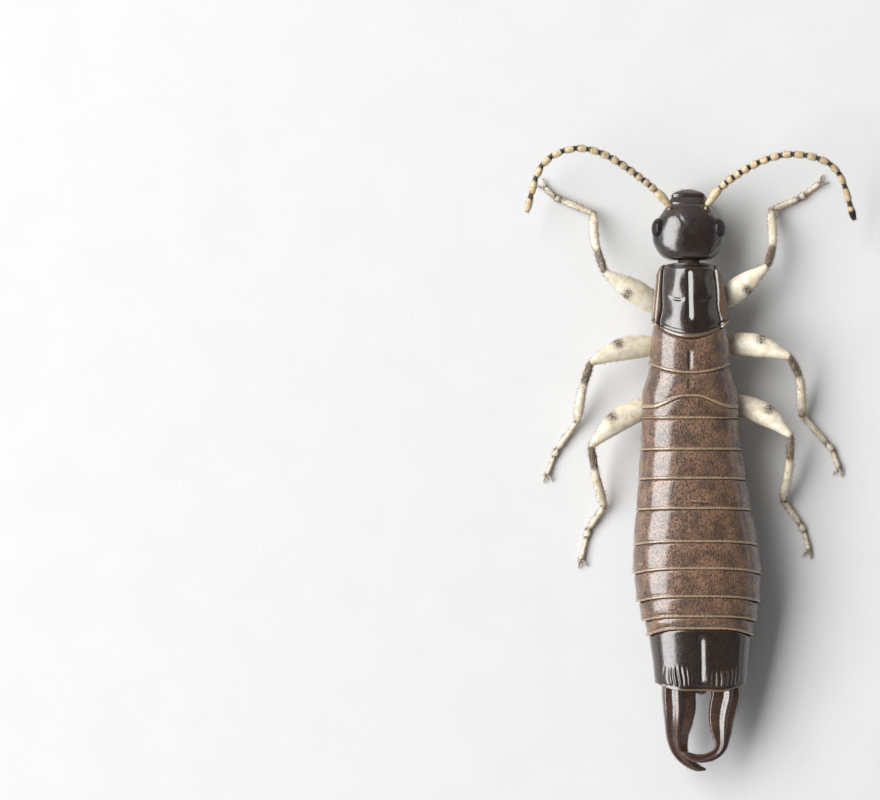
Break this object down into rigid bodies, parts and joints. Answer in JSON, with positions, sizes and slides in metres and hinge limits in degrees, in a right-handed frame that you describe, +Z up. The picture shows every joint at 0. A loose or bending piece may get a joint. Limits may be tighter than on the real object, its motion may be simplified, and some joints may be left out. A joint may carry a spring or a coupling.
{
  "type": "earwig",
  "caption": "Life-size still model of a male wingless earwig standing on its legs, with beaded feelers and lopsided curved pincers.",
  "frame": {"origin": "on the floor under the middle of the whole model", "axes": "+Z up, +Y towards the head, +X to the animal's right"},
  "size_m": [0.0171, 0.0324, 0.0042],
  "materials": {
    "shield": "glossy blackish brown",
    "back": "finely punctured dark chestnut",
    "eye": "glossy black, faceted",
    "feeler": "satin horn brown",
    "leg": "satin pale straw with brown rings",
    "mouth": "glossy red-brown",
    "neck": "soft skin",
    "pincer": "glossy dark red-brown"
  },
  "bodies": {
    "root": {"head": "shield", "eye_left": "eye", "eye_right": "eye", "antenna_left": "feeler", "antenna_right": "feeler", "mandible_left": "mouth", "mandible_right": "mouth", "palp_left": "feeler", "palp_right": "feeler", "upper_lip": "mouth", "lower_lip": "mouth", "neck": "neck", "prothorax": "shield", "mesothorax": "back", "metathorax": "back", "abdomen_01": "back", "abdomen_02": "back", "abdomen_03": "back", "abdomen_04": "back", "abdomen_05": "back", "abdomen_06": "back", "abdomen_07": "back", "abdomen_08": "back", "abdomen_09": "back", "abdomen_10": "shield", "pincer_left": "pincer", "pincer_right": "pincer", "leg_front_left": "leg", "leg_front_right": "leg", "leg_mid_left": "leg", "leg_mid_right": "leg", "leg_hind_left": "leg", "leg_hind_right": "leg"}
  },
  "joints": []
}
